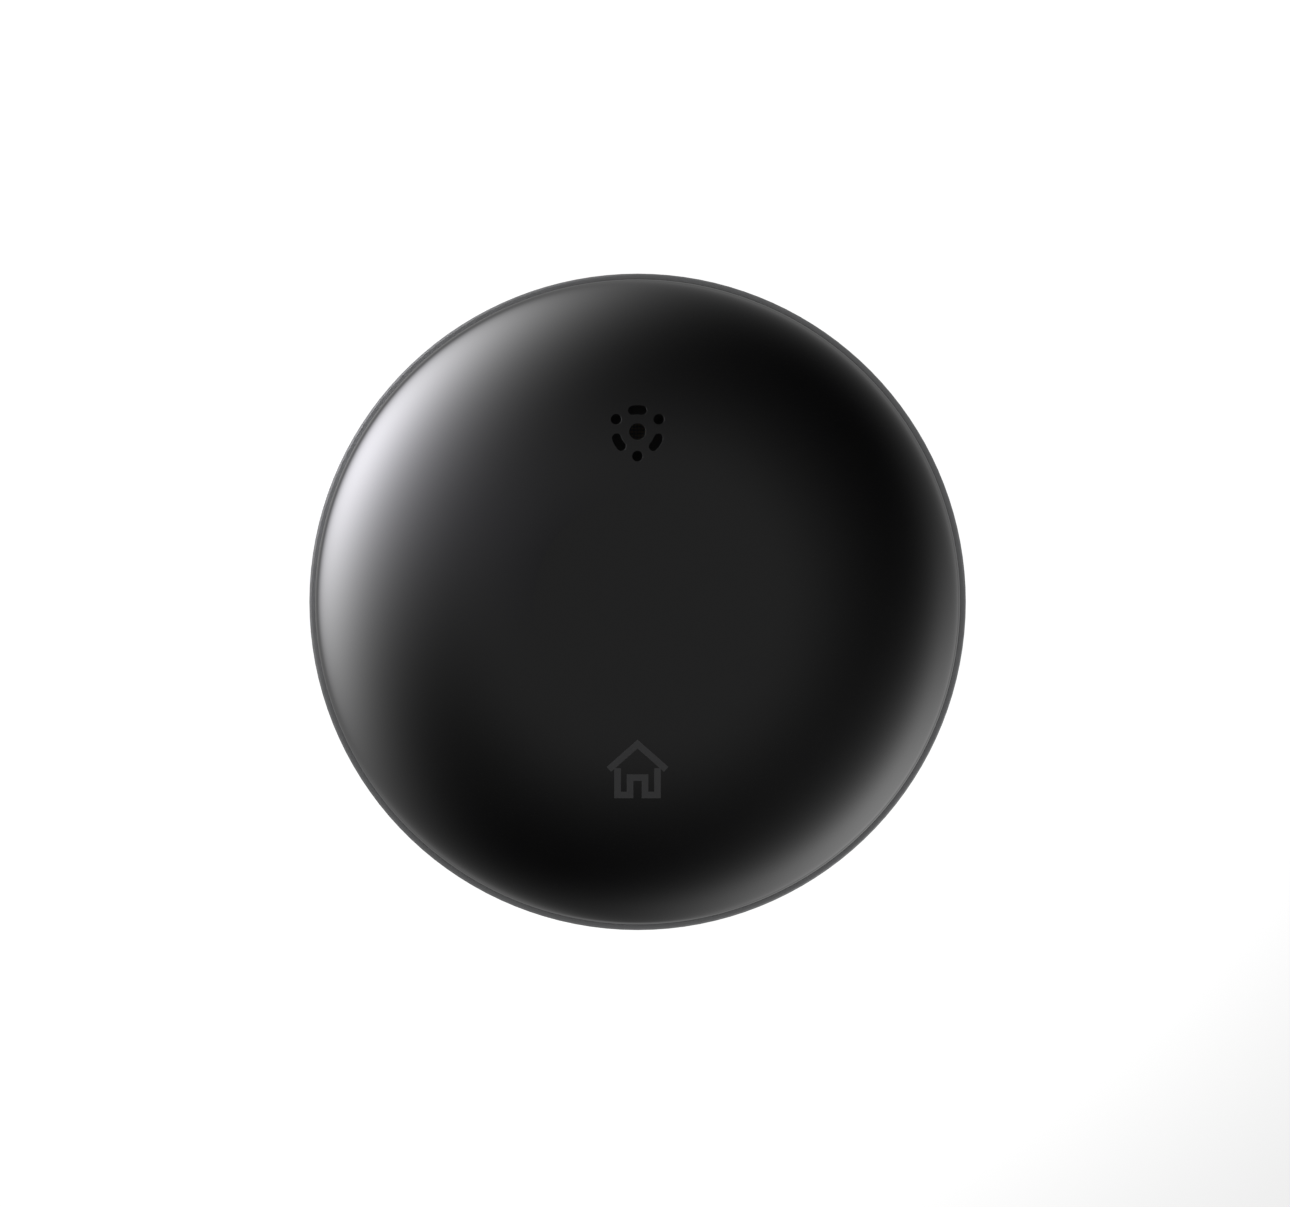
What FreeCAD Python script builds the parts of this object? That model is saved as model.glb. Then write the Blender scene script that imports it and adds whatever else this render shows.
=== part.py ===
import FreeCAD, Part
import math
import os

# Smart home hub: a gloss domed cover on a tapered base, with its board, radios, sounder,
# status light, power port and reset button inside. Millimetres, +Z up. The origin is on the
# table under the middle of the hub. +Y is the rear, where the port is.

# ---- Outline -------------------------------------------------------------------------
body_diameter = 80.0        # across the lip, the widest place
dome_rise = 12.0            # parting plane to crown
dome_wall = 2.0
crown_flat = 0.5            # radius of the gate mark left flat at the crown
lip_reveal = 0.6            # the ledge that shows round the dome
lip_overhang = 0.8          # how far the lip stands out over the base's side
lip_height = 0.8
lip_round = 0.25
base_draw_in = 3.6          # how much narrower the side is at the bottom
base_corner = 3.0           # round between side and underside
base_wall = 2.1
rim_wall = 2.2              # base's wall beside the cover's tongue
floor_thickness = 2.0
foot_stand = 0.8            # how far the foot ring holds the base off the table

# ---- Joint between cover and base ----------------------------------------------------
tongue_depth = 1.8
tongue_thickness = 1.4
tongue_clearance = 0.15
collar_height = 2.0
case_screw_angles = (45.0, 135.0, 225.0, 315.0)
case_boss_radius = 2.9
case_seat_radius = 3.4
case_seat_height = 2.4      # base boss above the floor
case_screw_core = 1.1
case_screw_head_radius = 2.1
case_screw_head_height = 1.5
case_screw_length = 9.0
case_web = 1.8              # plastic clamped under each screw head
screw_slack = 0.3           # round a screw that passes through
pilot_slack = 0.04          # round a screw core in the hole that it cuts its thread in

# ---- Foot ring and label -------------------------------------------------------------
foot_inset = 4.1            # from the base's lower corner to the ring
foot_width = 5.0
foot_groove = 0.8
foot_slack = 0.1
foot_round = 0.5
label_radius = 17.8
label_thickness = 0.18
label_recess = 0.25

# ---- Port bay at the rear ------------------------------------------------------------
bay_width = 26.0
bay_height = 7.0
bay_depth = 5.2             # from the base's top edge in to the bay's face
bay_ledge = 1.4             # under the bay
bay_wall = 1.8
bay_round = 1.5

# ---- Sound holes and sounder ---------------------------------------------------------
sound_inset = 19.5          # from the lip in to the middle of the sound holes
middle_hole_radius = 0.98
small_hole_radius = 0.63
small_hole_ring = 2.97
small_hole_angles = (30.0, 150.0, 270.0)
slot_ring = 2.63
slot_width = 1.1
slot_length = 2.25
slot_angles = (90.0, 210.0, 330.0)
chamber_bore = 4.4
chamber_wall = 1.9
mesh_thickness = 0.15
mesh_slack = 0.15
mesh_glue = 0.02
gasket_height = 1.4
gasket_inset = 0.1
sounder_radius = 6.0
sounder_height = 5.5
sounder_wall = 0.7
sounder_hole = 1.4
sounder_floor = 0.9
disc_level = 3.0            # brass disc above the board
disc_thickness = 0.2
ceramic_inset = 2.4         # from the case's outside to the ceramic
ceramic_thickness = 0.15
cup_slack = 0.05            # round the sounder's base and disc in its case
sounder_pin_radius = 0.3
sounder_pin_inset = 2.75    # from the case's outside to each pin
pin_tail = 0.8
hole_slack = 0.15           # round a pin or leg in the board

# ---- Status light --------------------------------------------------------------------
light_inset = 19.74         # from the lip in to the middle of the status light
guide_radius = 1.5
guide_foot_radius = 2.2
guide_foot_height = 1.2
guide_gap = 0.3             # above the lamp
sleeve_wall = 1.1
sleeve_length = 5.0
sleeve_slack = 0.03
light_skin = 0.9            # black plastic left over the guide
lamp_size = (2.0, 1.25, 0.8)

# ---- Board ---------------------------------------------------------------------------
board_thickness = 1.2
board_side_gap = 2.7        # to the base's wall
board_rear_gap = 1.5        # to the bay's wall
notch_slack = 0.6           # round the cover's bosses
board_screw_inset = 6.1     # from the board's edge
board_screw_angles = (118.0, 200.0, 290.0, 345.0)
board_screw_core = 0.85
board_screw_head_radius = 1.9
board_screw_head_height = 1.2
board_screw_length = 4.5
standoff_radius = 2.4
rest_post_radius = 1.5
rest_post_behind_port = 3.1

# ---- Power port ----------------------------------------------------------------------
port_width = 8.94
port_height = 3.26
port_length = 7.35
port_sheet = 0.3
port_set_back = 0.4         # mouth behind the bay's face
port_cut_slack = 0.25
tongue_width = 6.69
port_tongue_thickness = 0.7
port_tongue_length = 4.45
port_block_length = 2.4
contact_count = 12
contact_pitch = 0.5
contact_width = 0.25
contact_length = 3.4
contact_thickness = 0.12
contact_proud = 0.02
port_leg_width = 1.1
port_leg_places = (1.4, 4.8)

# ---- Reset button --------------------------------------------------------------------
button_across = 9.8         # from the port's middle
button_radius = 1.65
button_proud = 0.45
button_bore_slack = 0.08
button_flange_radius = 2.3
button_flange_thickness = 0.6
button_flange_gap = 0.15
button_travel = 0.35
button_edge_round = 0.3
switch_size = (5.2, 3.5, 3.5)
plunger_radius = 1.05
plunger_slack = 0.06
plunger_proud = 0.9
plunger_inside = 1.4
plunger_gap = 0.05
frame_sheet = 0.2
frame_leg_width = 1.0

# ---- Weight and heat -----------------------------------------------------------------
plate_clearance = 4.6       # from the standoffs
plate_thickness = 2.0
tape_thickness = 0.2
tape_margin = 0.5
pad_side = 12.0

# ---- Radios and small parts ----------------------------------------------------------
module_gap = 1.0            # from the sounder
module_thickness = 0.8
can_sheet = 0.2
wlan_board = (14.0, 18.0)
wlan_can = (12.4, 12.6, 2.2)
wlan_chip = (6.0, 6.0, 0.9)
wlan_left = -16.0
mesh_board = (11.0, 14.0)
mesh_can = (9.4, 9.6, 1.8)
mesh_chip = (5.0, 5.0, 0.85)
mesh_left = 3.0
can_margin = 0.8
antenna_length = 12.0
antenna_height = 4.0
antenna_sheet = 0.3
antenna_arm = 1.2
antenna_leg = 1.2
antenna_inset = 2.2
wlan_antenna_angle = 165.0
mesh_antenna_angle = 17.0
flash_size = (5.2, 5.2, 1.7)
flash_leg = (0.4, 1.2, 0.2)
flash_leg_pitch = 1.27
crystal_size = (3.2, 2.5, 0.7)
choke_size = (4.0, 4.0, 1.9)
bulk_size = (3.5, 2.8, 1.9)
power_chip_size = (3.0, 3.0, 0.9)
chip_size = (0.6, 1.2, 0.5)
chip_pitch = 1.8
supply_gap = 1.0            # between the supply parts under the board

# ---- Places that follow from the sizes above -----------------------------------------
body_radius = body_diameter / 2
dome_radius = body_radius - lip_reveal
side_top_radius = body_radius - lip_overhang
side_foot_radius = side_top_radius - base_draw_in
rebate_radius = side_top_radius - rim_wall
tongue_outer = rebate_radius - tongue_clearance
tongue_inner = tongue_outer - tongue_thickness

underside = foot_stand
floor_top = underside + floor_thickness
bay_bottom = underside + bay_ledge
bay_top = bay_bottom + bay_height
parting = bay_top + lip_height
port_level = (bay_bottom + bay_top) / 2
board_bottom = port_level + port_height / 2
board_top = board_bottom + board_thickness

bay_face = side_top_radius - bay_depth
bay_inside = bay_face - bay_wall

foot_outer = side_foot_radius - foot_inset
foot_inner = foot_outer - foot_width
case_screw_ring = (foot_outer + foot_inner) / 2
case_seat = floor_top + case_seat_height
screw_head_face = case_seat - case_web

side_slope = base_draw_in / (bay_top - underside)
board_radius = side_foot_radius + side_slope * (board_bottom - underside) - base_wall - board_side_gap
board_rear = bay_inside - board_rear_gap
board_screw_ring = board_radius - board_screw_inset

sound_y = body_radius - sound_inset
light_y = light_inset - body_radius
sounder_top = board_top + sounder_height
sounder_pin_reach = sounder_radius - sounder_pin_inset
ceramic_radius = sounder_radius - ceramic_inset
chamber_end = sounder_top + gasket_height
lamp_top = board_top + lamp_size[2]
guide_bottom = lamp_top + guide_gap

port_mouth = bay_face - port_set_back
port_rear = port_mouth - port_length
rest_post_y = port_rear - rest_post_behind_port

flange_front = bay_inside - button_flange_gap
flange_back = flange_front - button_flange_thickness
switch_front = flange_back - plunger_gap - plunger_proud
switch_level = board_bottom - switch_size[2] / 2

plate_radius = board_screw_ring - standoff_radius - plate_clearance
plate_bottom = floor_top + tape_thickness
plate_top = plate_bottom + plate_thickness
module_top_edge = sound_y - sounder_radius - module_gap
far = 2 * body_diameter     # longer than anything that it has to cut through
margin = 1.0                # how far a cutter starts outside what it cuts
thinnest_side = 0.001       # straight part left on a side that is rounded end to end


# ---- Helpers -------------------------------------------------------------------------
def vec(x, y, z):
    return FreeCAD.Vector(x, y, z)


def block(x0, x1, y0, y1, z0, z1):
    return Part.makeBox(x1 - x0, y1 - y0, z1 - z0, vec(x0, y0, z0))


def block_at(x, y, z0, size):
    """A box of size (x, y, z) centred on x and y, standing on z0."""
    return block(x - size[0] / 2, x + size[0] / 2, y - size[1] / 2, y + size[1] / 2, z0, z0 + size[2])


def rod(radius, z0, z1, x=0.0, y=0.0):
    return Part.makeCylinder(radius, z1 - z0, vec(x, y, z0))


def ring(outer, inner, z0, z1, x=0.0, y=0.0):
    return rod(outer, z0, z1, x, y).cut(rod(inner, z0, z1, x, y))


def rod_along_y(radius, y0, y1, x, z):
    return Part.makeCylinder(radius, y1 - y0, vec(x, y0, z), vec(0, 1, 0))


def polar(radius, degrees):
    angle = math.radians(degrees)
    return radius * math.cos(angle), radius * math.sin(angle)


def fused(shapes):
    """Join shapes one by one, which curved walls need."""
    whole = shapes[0]
    for shape in shapes[1:]:
        whole = whole.fuse(shape)
    return whole


def without(shape, cutters):
    """Cut shapes away one by one."""
    for cutter in cutters:
        shape = shape.cut(cutter)
    return shape


def tidy(shape):
    return shape.removeSplitter()


def rounded_profile(corners):
    """A closed face in the XZ plane. Each corner is (radius from the axis, height, rounding)."""
    count = len(corners)
    edges = []
    starts, ends = [], []
    for i, (x, z, rounding) in enumerate(corners):
        here = vec(x, 0, z)
        before = vec(corners[i - 1][0], 0, corners[i - 1][1]) - here
        after = vec(corners[(i + 1) % count][0], 0, corners[(i + 1) % count][1]) - here
        before.normalize()
        after.normalize()
        if rounding:
            half = before.getAngle(after) / 2
            back = rounding / math.tan(half)
            middle = before + after
            middle.normalize()
            centre = here + middle * (rounding / math.sin(half))
            start, end = here + before * back, here + after * back
            edges.append(Part.Arc(start, centre - middle * rounding, end).toShape())
        else:
            start = end = here
        starts.append(start)
        ends.append(end)
    for i in range(count):
        edges.append(Part.makeLine(ends[i], starts[(i + 1) % count]))
    return Part.Face(Part.Wire(Part.__sortEdges__(edges)))


def turned(face):
    return face.revolve(vec(0, 0, 0), vec(0, 0, 1), 360)


def rounded_bar(width, height, rounding, y0, y1, x, z):
    """A bar along Y whose section in XZ is a rounded rectangle centred on x, z."""
    r = min(rounding, min(width, height) / 2 - thinnest_side)
    w, h = width / 2, height / 2
    corners = [(x - w, z - h, r), (x + w, z - h, r), (x + w, z + h, r), (x - w, z + h, r)]
    bar = rounded_profile(corners).extrude(vec(0, y1 - y0, 0))
    return bar.translated(vec(0, y0, 0))


def curved_slot(ring_radius, width, length, degrees, z0, z1, x, y):
    """A slot with round ends, bent along a circle round x, y."""
    half = math.degrees((length - width) / 2 / ring_radius)
    outer, inner = ring_radius + width / 2, ring_radius - width / 2

    def on(radius, angle):
        px, py = polar(radius, angle)
        return vec(x + px, y + py, z0)

    def cap(angle, sign):
        cx, cy = polar(ring_radius, angle)
        tx, ty = polar(width / 2, angle + sign * 90)
        return vec(x + cx + tx, y + cy + ty, z0)

    a, b = degrees - half, degrees + half
    edges = [
        Part.Arc(on(outer, a), on(outer, degrees), on(outer, b)).toShape(),
        Part.Arc(on(outer, b), cap(b, 1), on(inner, b)).toShape(),
        Part.Arc(on(inner, b), on(inner, degrees), on(inner, a)).toShape(),
        Part.Arc(on(inner, a), cap(a, -1), on(outer, a)).toShape(),
    ]
    return Part.Face(Part.Wire(edges)).extrude(vec(0, 0, z1 - z0))


def dome_height(y, outside=True):
    """The cover's outer or inner surface above a point y from the axis."""
    inset = 0 if outside else dome_wall
    share = y / (dome_radius - inset)
    return parting + (dome_rise - inset) * math.sqrt(1 - share * share)


def board_screw_places():
    return [polar(board_screw_ring, a) for a in board_screw_angles]


def case_screw_places():
    return [polar(case_screw_ring, a) for a in case_screw_angles]


def side_radius(z):
    """The base's outer radius at a height, leaving out the round at the bottom."""
    return side_foot_radius + side_slope * (z - underside)


# ---- Cover ---------------------------------------------------------------------------
def sound_hole_cutters():
    z0, z1 = parting, parting + 2 * dome_rise
    holes = [rod(middle_hole_radius, z0, z1, 0, sound_y)]
    for angle in small_hole_angles:
        x, y = polar(small_hole_ring, angle)
        holes.append(rod(small_hole_radius, z0, z1, x, sound_y + y))
    for angle in slot_angles:
        holes.append(curved_slot(slot_ring, slot_width, slot_length, angle, z0, z1, 0, sound_y))
    return holes


def guide_top():
    """The flat end of the light guide's pocket, a skin's thickness under the dome's lower side."""
    return dome_height(abs(light_y) + guide_radius) - light_skin


def dome_curve(inset, lowest=0.0):
    """The dome's curve, inset from the outside, from a height over the parting plane to its crown."""
    radius, rise = dome_radius - inset, dome_rise - inset
    ellipse = Part.Ellipse(vec(radius, 0, parting), vec(0, 0, parting + rise), vec(0, 0, parting))
    return Part.ArcOfEllipse(ellipse, math.asin(lowest / rise), math.acos(crown_flat / radius)).toShape()


def turned_section(points, curves):
    """Turn a section made of straight lines through the points and of the given curves."""
    lines = [Part.makeLine(a, b) for a, b in zip(points, points[1:])]
    return turned(Part.Face(Part.Wire(Part.__sortEdges__(lines + curves))))


def curve_ends(curve):
    return curve.valueAt(curve.FirstParameter), curve.valueAt(curve.LastParameter)


def cover_shell():
    """The dome's wall, with the ledge and the tongue that goes down inside the base."""
    outside, inside = dome_curve(0.0), dome_curve(dome_wall, collar_height)
    rim, crown = curve_ends(outside)
    ledge, ceiling = curve_ends(inside)
    tongue_end = parting - tongue_depth
    tongue = [ledge, vec(tongue_inner, 0, ledge.z), vec(tongue_inner, 0, tongue_end),
              vec(tongue_outer, 0, tongue_end), vec(tongue_outer, 0, parting), rim]
    axis = [crown, vec(0, 0, crown.z), vec(0, 0, ceiling.z), ceiling]
    lines = [Part.makeLine(a, b) for a, b in zip(axis, axis[1:])]
    return turned_section(tongue, [outside, inside, *lines])


def dome_solid(inset, bottom):
    """Everything under the dome's curve, inset from the outside, down to a level."""
    curve = dome_curve(inset)
    rim, crown = curve_ends(curve)
    return turned_section([rim, vec(rim.x, 0, bottom), vec(0, 0, bottom), vec(0, 0, crown.z), crown], [curve])


def dome_cover():
    shell = cover_shell()
    bay_gap = bay_width / 2 + bay_wall + screw_slack
    shell = shell.cut(block(-bay_gap, bay_gap, 0, far, 0, parting))

    top = parting + dome_rise
    posts = [rod(case_boss_radius, case_seat, top, *place) for place in case_screw_places()]
    posts.append(ring(chamber_bore + chamber_wall, chamber_bore, chamber_end, top, 0, sound_y))
    sleeve_end = dome_height(light_y, False) - sleeve_length
    posts.append(rod(guide_radius + sleeve_wall, sleeve_end, top, 0, light_y))
    trim = dome_solid(dome_wall / 2, case_seat - margin)
    cover = fused([shell, *[post.common(trim) for post in posts]])

    cuts = [rod(guide_radius + sleeve_slack, sleeve_end - margin, guide_top(), 0, light_y)]
    cuts += [rod(case_screw_core + pilot_slack, case_seat - margin, case_seat + case_screw_length, *place)
             for place in case_screw_places()]
    return without(cover, cuts + sound_hole_cutters())


def dust_mesh():
    """A fine cloth disc glued inside the cover, behind the sound holes."""
    inset = dome_wall + mesh_glue
    cloth = dome_solid(inset, case_seat).cut(dome_solid(inset + mesh_thickness, case_seat - margin))
    return cloth.common(rod(chamber_bore - mesh_slack, chamber_end, parting + dome_rise, 0, sound_y))


# ---- Base ----------------------------------------------------------------------------
def base_envelope():
    return turned(rounded_profile([
        (0, underside, 0),
        (side_foot_radius, underside, base_corner),
        (side_top_radius, bay_top, 0),
        (body_radius, bay_top, lip_round),
        (body_radius, parting, lip_round),
        (0, parting, 0),
    ]))


def base_hollow():
    step = parting - tongue_depth - tongue_clearance
    return turned(rounded_profile([
        (0, floor_top, 0),
        (side_radius(floor_top) - base_wall, floor_top, base_corner / 2),
        (side_radius(step) - base_wall, step, 0),
        (rebate_radius, step, 0),
        (rebate_radius, parting, 0),
        (0, parting, 0),
    ]))


def base_shell():
    envelope = base_envelope()
    half = bay_width / 2 + bay_wall
    bay_block = block(-half, half, bay_inside, far, underside, parting).common(envelope)
    shell = envelope.cut(base_hollow()).fuse(bay_block)
    bay = rounded_bar(bay_width, bay_height, bay_round, bay_face, far, 0, port_level)

    cut_start, cut_end = bay_inside - margin, bay_face + margin
    port_cut = rounded_bar(port_width + 2 * port_cut_slack, port_height + 2 * port_cut_slack,
                           port_height / 2 + port_cut_slack, cut_start, cut_end, 0, port_level)
    bore_radius = button_radius + button_bore_slack
    button_cut = rod_along_y(bore_radius, cut_start, cut_end, button_across, switch_level)
    groove = ring(foot_outer + foot_slack, foot_inner - foot_slack, underside, underside + foot_groove)
    label = rod(label_radius + foot_slack, underside, underside + label_recess)

    post_foot = underside + foot_groove
    posts = [rod(case_seat_radius, post_foot, case_seat, *place) for place in case_screw_places()]
    posts += [rod(standoff_radius, floor_top, board_bottom, *place) for place in board_screw_places()]
    posts.append(rod(rest_post_radius, floor_top, board_bottom, 0, rest_post_y))

    holes = []
    for place in case_screw_places():
        holes.append(rod(case_screw_head_radius + screw_slack, underside, screw_head_face, *place))
        holes.append(rod(case_screw_core + screw_slack, underside, case_seat, *place))
    for place in board_screw_places():
        depth = board_screw_length - board_thickness
        holes.append(rod(board_screw_core + pilot_slack, board_bottom - depth, board_bottom, *place))
    return tidy(without(fused([shell, *posts]), [bay, groove, label, port_cut, button_cut, *holes]))


def foot_ring():
    return turned(rounded_profile([
        (foot_inner, 0, foot_round),
        (foot_outer, 0, foot_round),
        (foot_outer, underside + foot_groove, 0),
        (foot_inner, underside + foot_groove, 0),
    ]))


def id_label():
    return rod(label_radius, underside + label_recess - label_thickness, underside + label_recess)


def screw(core, length, head_radius, head_height, head_face, x, y, upwards):
    """A pan-head screw. Its head sits against head_face, and its shank points up or down."""
    way = 1 if upwards else -1
    corners = [
        (0, -head_height, 0),
        (head_radius, -head_height, head_height / 2),
        (head_radius, 0, 0),
        (core, 0, 0),
        (core, length - core, 0),
        (core / 3, length, 0),
        (0, length, 0),
    ]
    body = turned(rounded_profile([(r, way * z, c) for r, z, c in corners]))
    drive_depth = (-head_height, -head_height / 2)
    drive = block(-head_radius / 2, head_radius / 2, -core / 4, core / 4, *drive_depth)
    drive = drive.fuse(block(-core / 4, core / 4, -head_radius / 2, head_radius / 2, *drive_depth))
    if not upwards:
        drive = drive.mirror(vec(0, 0, 0), vec(0, 0, 1))
    return body.cut(drive).translated(vec(x, y, head_face))


def case_screws():
    return [screw(case_screw_core, case_screw_length, case_screw_head_radius, case_screw_head_height,
                  screw_head_face, x, y, True) for x, y in case_screw_places()]


# ---- Sounder -------------------------------------------------------------------------
def chamber_gasket():
    return ring(sounder_radius - gasket_inset, chamber_bore, sounder_top, chamber_end, 0, sound_y)


def sounder_case():
    inside = sounder_radius - sounder_wall
    ledge = board_top + disc_level + disc_thickness
    cup = rod(sounder_radius, board_top, sounder_top, 0, sound_y)
    lower = rod(inside, board_top, ledge, 0, sound_y)
    upper = rod(inside - sounder_wall, ledge, sounder_top - sounder_wall, 0, sound_y)
    return cup.cut(fused([lower, upper, rod(sounder_hole, ledge, sounder_top, 0, sound_y)]))


def sounder_base():
    outside = sounder_radius - sounder_wall - cup_slack
    cup = rod(outside, board_top, board_top + disc_level, 0, sound_y)
    hollow = rod(outside - sounder_wall, board_top + sounder_floor, board_top + disc_level, 0, sound_y)
    return cup.cut(fused([hollow, *sounder_pins()]))


def sounder_pins():
    return [rod(sounder_pin_radius, board_bottom - pin_tail, board_top + sounder_floor, x, sound_y)
            for x in (-sounder_pin_reach, sounder_pin_reach)]


def sounder_disc():
    level = board_top + disc_level
    return rod(sounder_radius - sounder_wall - cup_slack, level, level + disc_thickness, 0, sound_y)


def sounder_ceramic():
    level = board_top + disc_level
    return rod(ceramic_radius, level - ceramic_thickness, level, 0, sound_y)


# ---- Status light --------------------------------------------------------------------
def light_guide():
    stem = rod(guide_radius, guide_bottom, guide_top(), 0, light_y)
    foot = Part.makeCone(guide_foot_radius, guide_radius, guide_foot_height, vec(0, light_y, guide_bottom))
    return stem.fuse(foot)


def status_lamp():
    return block_at(0, light_y, board_top, lamp_size)


# ---- Board ---------------------------------------------------------------------------
def main_board():
    board = rod(board_radius, board_bottom, board_top)
    board = board.cut(block(-far, far, board_rear, far, board_bottom, board_top))
    cuts = []
    notch = case_boss_radius + notch_slack
    for angle, (x, y) in zip(case_screw_angles, case_screw_places()):
        way_out = block(0, far, -notch, notch, board_bottom, board_top)
        way_out.rotate(vec(0, 0, 0), vec(0, 0, 1), angle)
        cuts += [rod(notch, board_bottom, board_top, x, y), way_out.translated(vec(x, y, 0))]
    cuts += [rod(board_screw_core + screw_slack, board_bottom, board_top, *p) for p in board_screw_places()]
    cuts += [rod(sounder_pin_radius + hole_slack, board_bottom, board_top, x, sound_y)
             for x in (-sounder_pin_reach, sounder_pin_reach)]
    for x, y, wide in port_leg_spots() + frame_leg_spots():
        half, thick = wide / 2 + hole_slack, port_sheet + hole_slack
        cuts.append(block(x - thick, x + thick, y - half, y + half, board_bottom, board_top))
    return tidy(board.cut(fused(cuts)))


def board_screws():
    return [screw(board_screw_core, board_screw_length, board_screw_head_radius, board_screw_head_height,
                  board_top, x, y, False) for x, y in board_screw_places()]


# ---- Power port ----------------------------------------------------------------------
def port_leg_spots():
    """(x, y, width) of each leg, beside the shell."""
    x = port_width / 2 - port_sheet / 2
    return [(side * x, port_rear + along, port_leg_width) for side in (-1, 1) for along in port_leg_places]


def port_shell():
    outer = rounded_bar(port_width, port_height, port_height / 2, port_rear, port_mouth, 0, port_level)
    inner = rounded_bar(port_width - 2 * port_sheet, port_height - 2 * port_sheet,
                        port_height / 2 - port_sheet, port_rear, port_mouth, 0, port_level)
    legs = [block(x - port_sheet / 2, x + port_sheet / 2, y - wide / 2, y + wide / 2, port_level, board_top)
            for x, y, wide in port_leg_spots()]
    return tidy(fused([outer, *legs]).cut(inner))


def port_insulator():
    rear = rounded_bar(port_width - 2 * port_sheet, port_height - 2 * port_sheet,
                       port_height / 2 - port_sheet, port_rear, port_rear + port_block_length, 0, port_level)
    lip = rounded_bar(tongue_width, port_tongue_thickness, port_tongue_thickness / 3,
                      port_rear, port_rear + port_block_length + port_tongue_length, 0, port_level)
    return tidy(rear.fuse(lip).cut(fused(port_contacts())))


def port_contacts():
    """Two rows of flat contacts, sunk into the tongue and a little proud of it."""
    start = port_rear + port_block_length
    strips = []
    for side in (-1, 1):
        face = port_level + side * port_tongue_thickness / 2
        low, high = sorted((face - side * contact_thickness, face + side * contact_proud))
        for i in range(contact_count):
            x = (i - (contact_count - 1) / 2) * contact_pitch
            half = contact_width / 2
            strips.append(block(x - half, x + half, start, start + contact_length, low, high))
    return strips


# ---- Reset button --------------------------------------------------------------------
def reset_button():
    stem = rod_along_y(button_radius, flange_front, bay_face + button_proud, button_across, switch_level)
    rim = [e for e in stem.Edges if abs(e.BoundBox.YMin - (bay_face + button_proud)) < 1e-6
           and e.BoundBox.YLength < 1e-6]
    stem = stem.makeFillet(button_edge_round, rim)
    flange = rod_along_y(button_flange_radius, flange_back, flange_front, button_across, switch_level)
    return tidy(stem.fuse(flange))


def switch_body():
    middle = switch_front - switch_size[1] / 2
    body = block_at(button_across, middle, board_bottom - switch_size[2], switch_size)
    depth = plunger_inside + button_travel + 2 * plunger_slack
    return body.cut(rod_along_y(plunger_radius + plunger_slack, switch_front - depth, switch_front,
                                button_across, switch_level))


def switch_plunger():
    return rod_along_y(plunger_radius, switch_front - plunger_inside, switch_front + plunger_proud,
                       button_across, switch_level)


def frame_leg_spots():
    x = switch_size[0] / 2 + frame_sheet / 2
    y = switch_front - switch_size[1] / 2
    return [(button_across + side * x, y, frame_leg_width) for side in (-1, 1)]


def switch_frame():
    """The folded metal frame that holds the switch to the board."""
    x0, x1 = button_across - switch_size[0] / 2, button_across + switch_size[0] / 2
    y0, y1 = switch_front - switch_size[1], switch_front
    bottom = board_bottom - switch_size[2]
    under = block(x0 - frame_sheet, x1 + frame_sheet, y0, y1, bottom - frame_sheet, bottom)
    sides = [block(x0 - frame_sheet, x0, y0, y1, bottom, board_bottom),
             block(x1, x1 + frame_sheet, y0, y1, bottom, board_bottom)]
    thin = frame_sheet / 2
    legs = [block(x - thin, x + thin, y - wide / 2, y + wide / 2, board_bottom, board_top)
            for x, y, wide in frame_leg_spots()]
    return tidy(fused([under, *sides, *legs]))


# ---- Weight and heat -----------------------------------------------------------------
def plate_tape():
    return rod(plate_radius - tape_margin, floor_top, plate_bottom)


def ballast_plate():
    return rod(plate_radius, plate_bottom, plate_top)


def thermal_pad():
    x, y = module_centre(wlan_left, wlan_board)
    return block_at(x, y, plate_top, (pad_side, pad_side, board_bottom - plate_top))


# ---- Radios and small parts ----------------------------------------------------------
def module_centre(left, size):
    return left + size[0] / 2, module_top_edge - size[1] / 2


def module_board(left, size):
    x, y = module_centre(left, size)
    return block_at(x, y, board_top, (*size, module_thickness))


def can_centre(left, size, can):
    return left + size[0] / 2, module_top_edge - size[1] + can_margin + can[1] / 2


def module_can(left, size, can):
    x, y = can_centre(left, size, can)
    bottom = board_top + module_thickness
    inside = (can[0] - 2 * can_sheet, can[1] - 2 * can_sheet, can[2] - can_sheet)
    return block_at(x, y, bottom, can).cut(block_at(x, y, bottom, inside))


def module_chip(left, size, can, chip):
    x, y = can_centre(left, size, can)
    return block_at(x, y, board_top + module_thickness, chip)


def antenna(angle):
    """A stamped strip on two legs, standing along the board's edge."""
    half, sheet = antenna_length / 2, antenna_sheet / 2
    top = board_top + antenna_height
    arm = block(-sheet, sheet, -half, half, top - antenna_arm, top)
    leg_starts = (-half, -half + 3 * antenna_leg)
    legs = [block(-sheet, sheet, y, y + antenna_leg, board_top, top) for y in leg_starts]
    strip = tidy(fused([arm, *legs]))
    strip.translate(vec(board_radius - antenna_inset, 0, 0))
    strip.rotate(vec(0, 0, 0), vec(0, 0, 1), angle)
    return strip


def flash_place():
    x, y = module_centre(mesh_left, mesh_board)
    return x, y - mesh_board[1] / 2 - flash_size[1] - flash_leg[1]


def flash_chip():
    return block_at(*flash_place(), board_top + flash_leg[2], flash_size)


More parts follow.
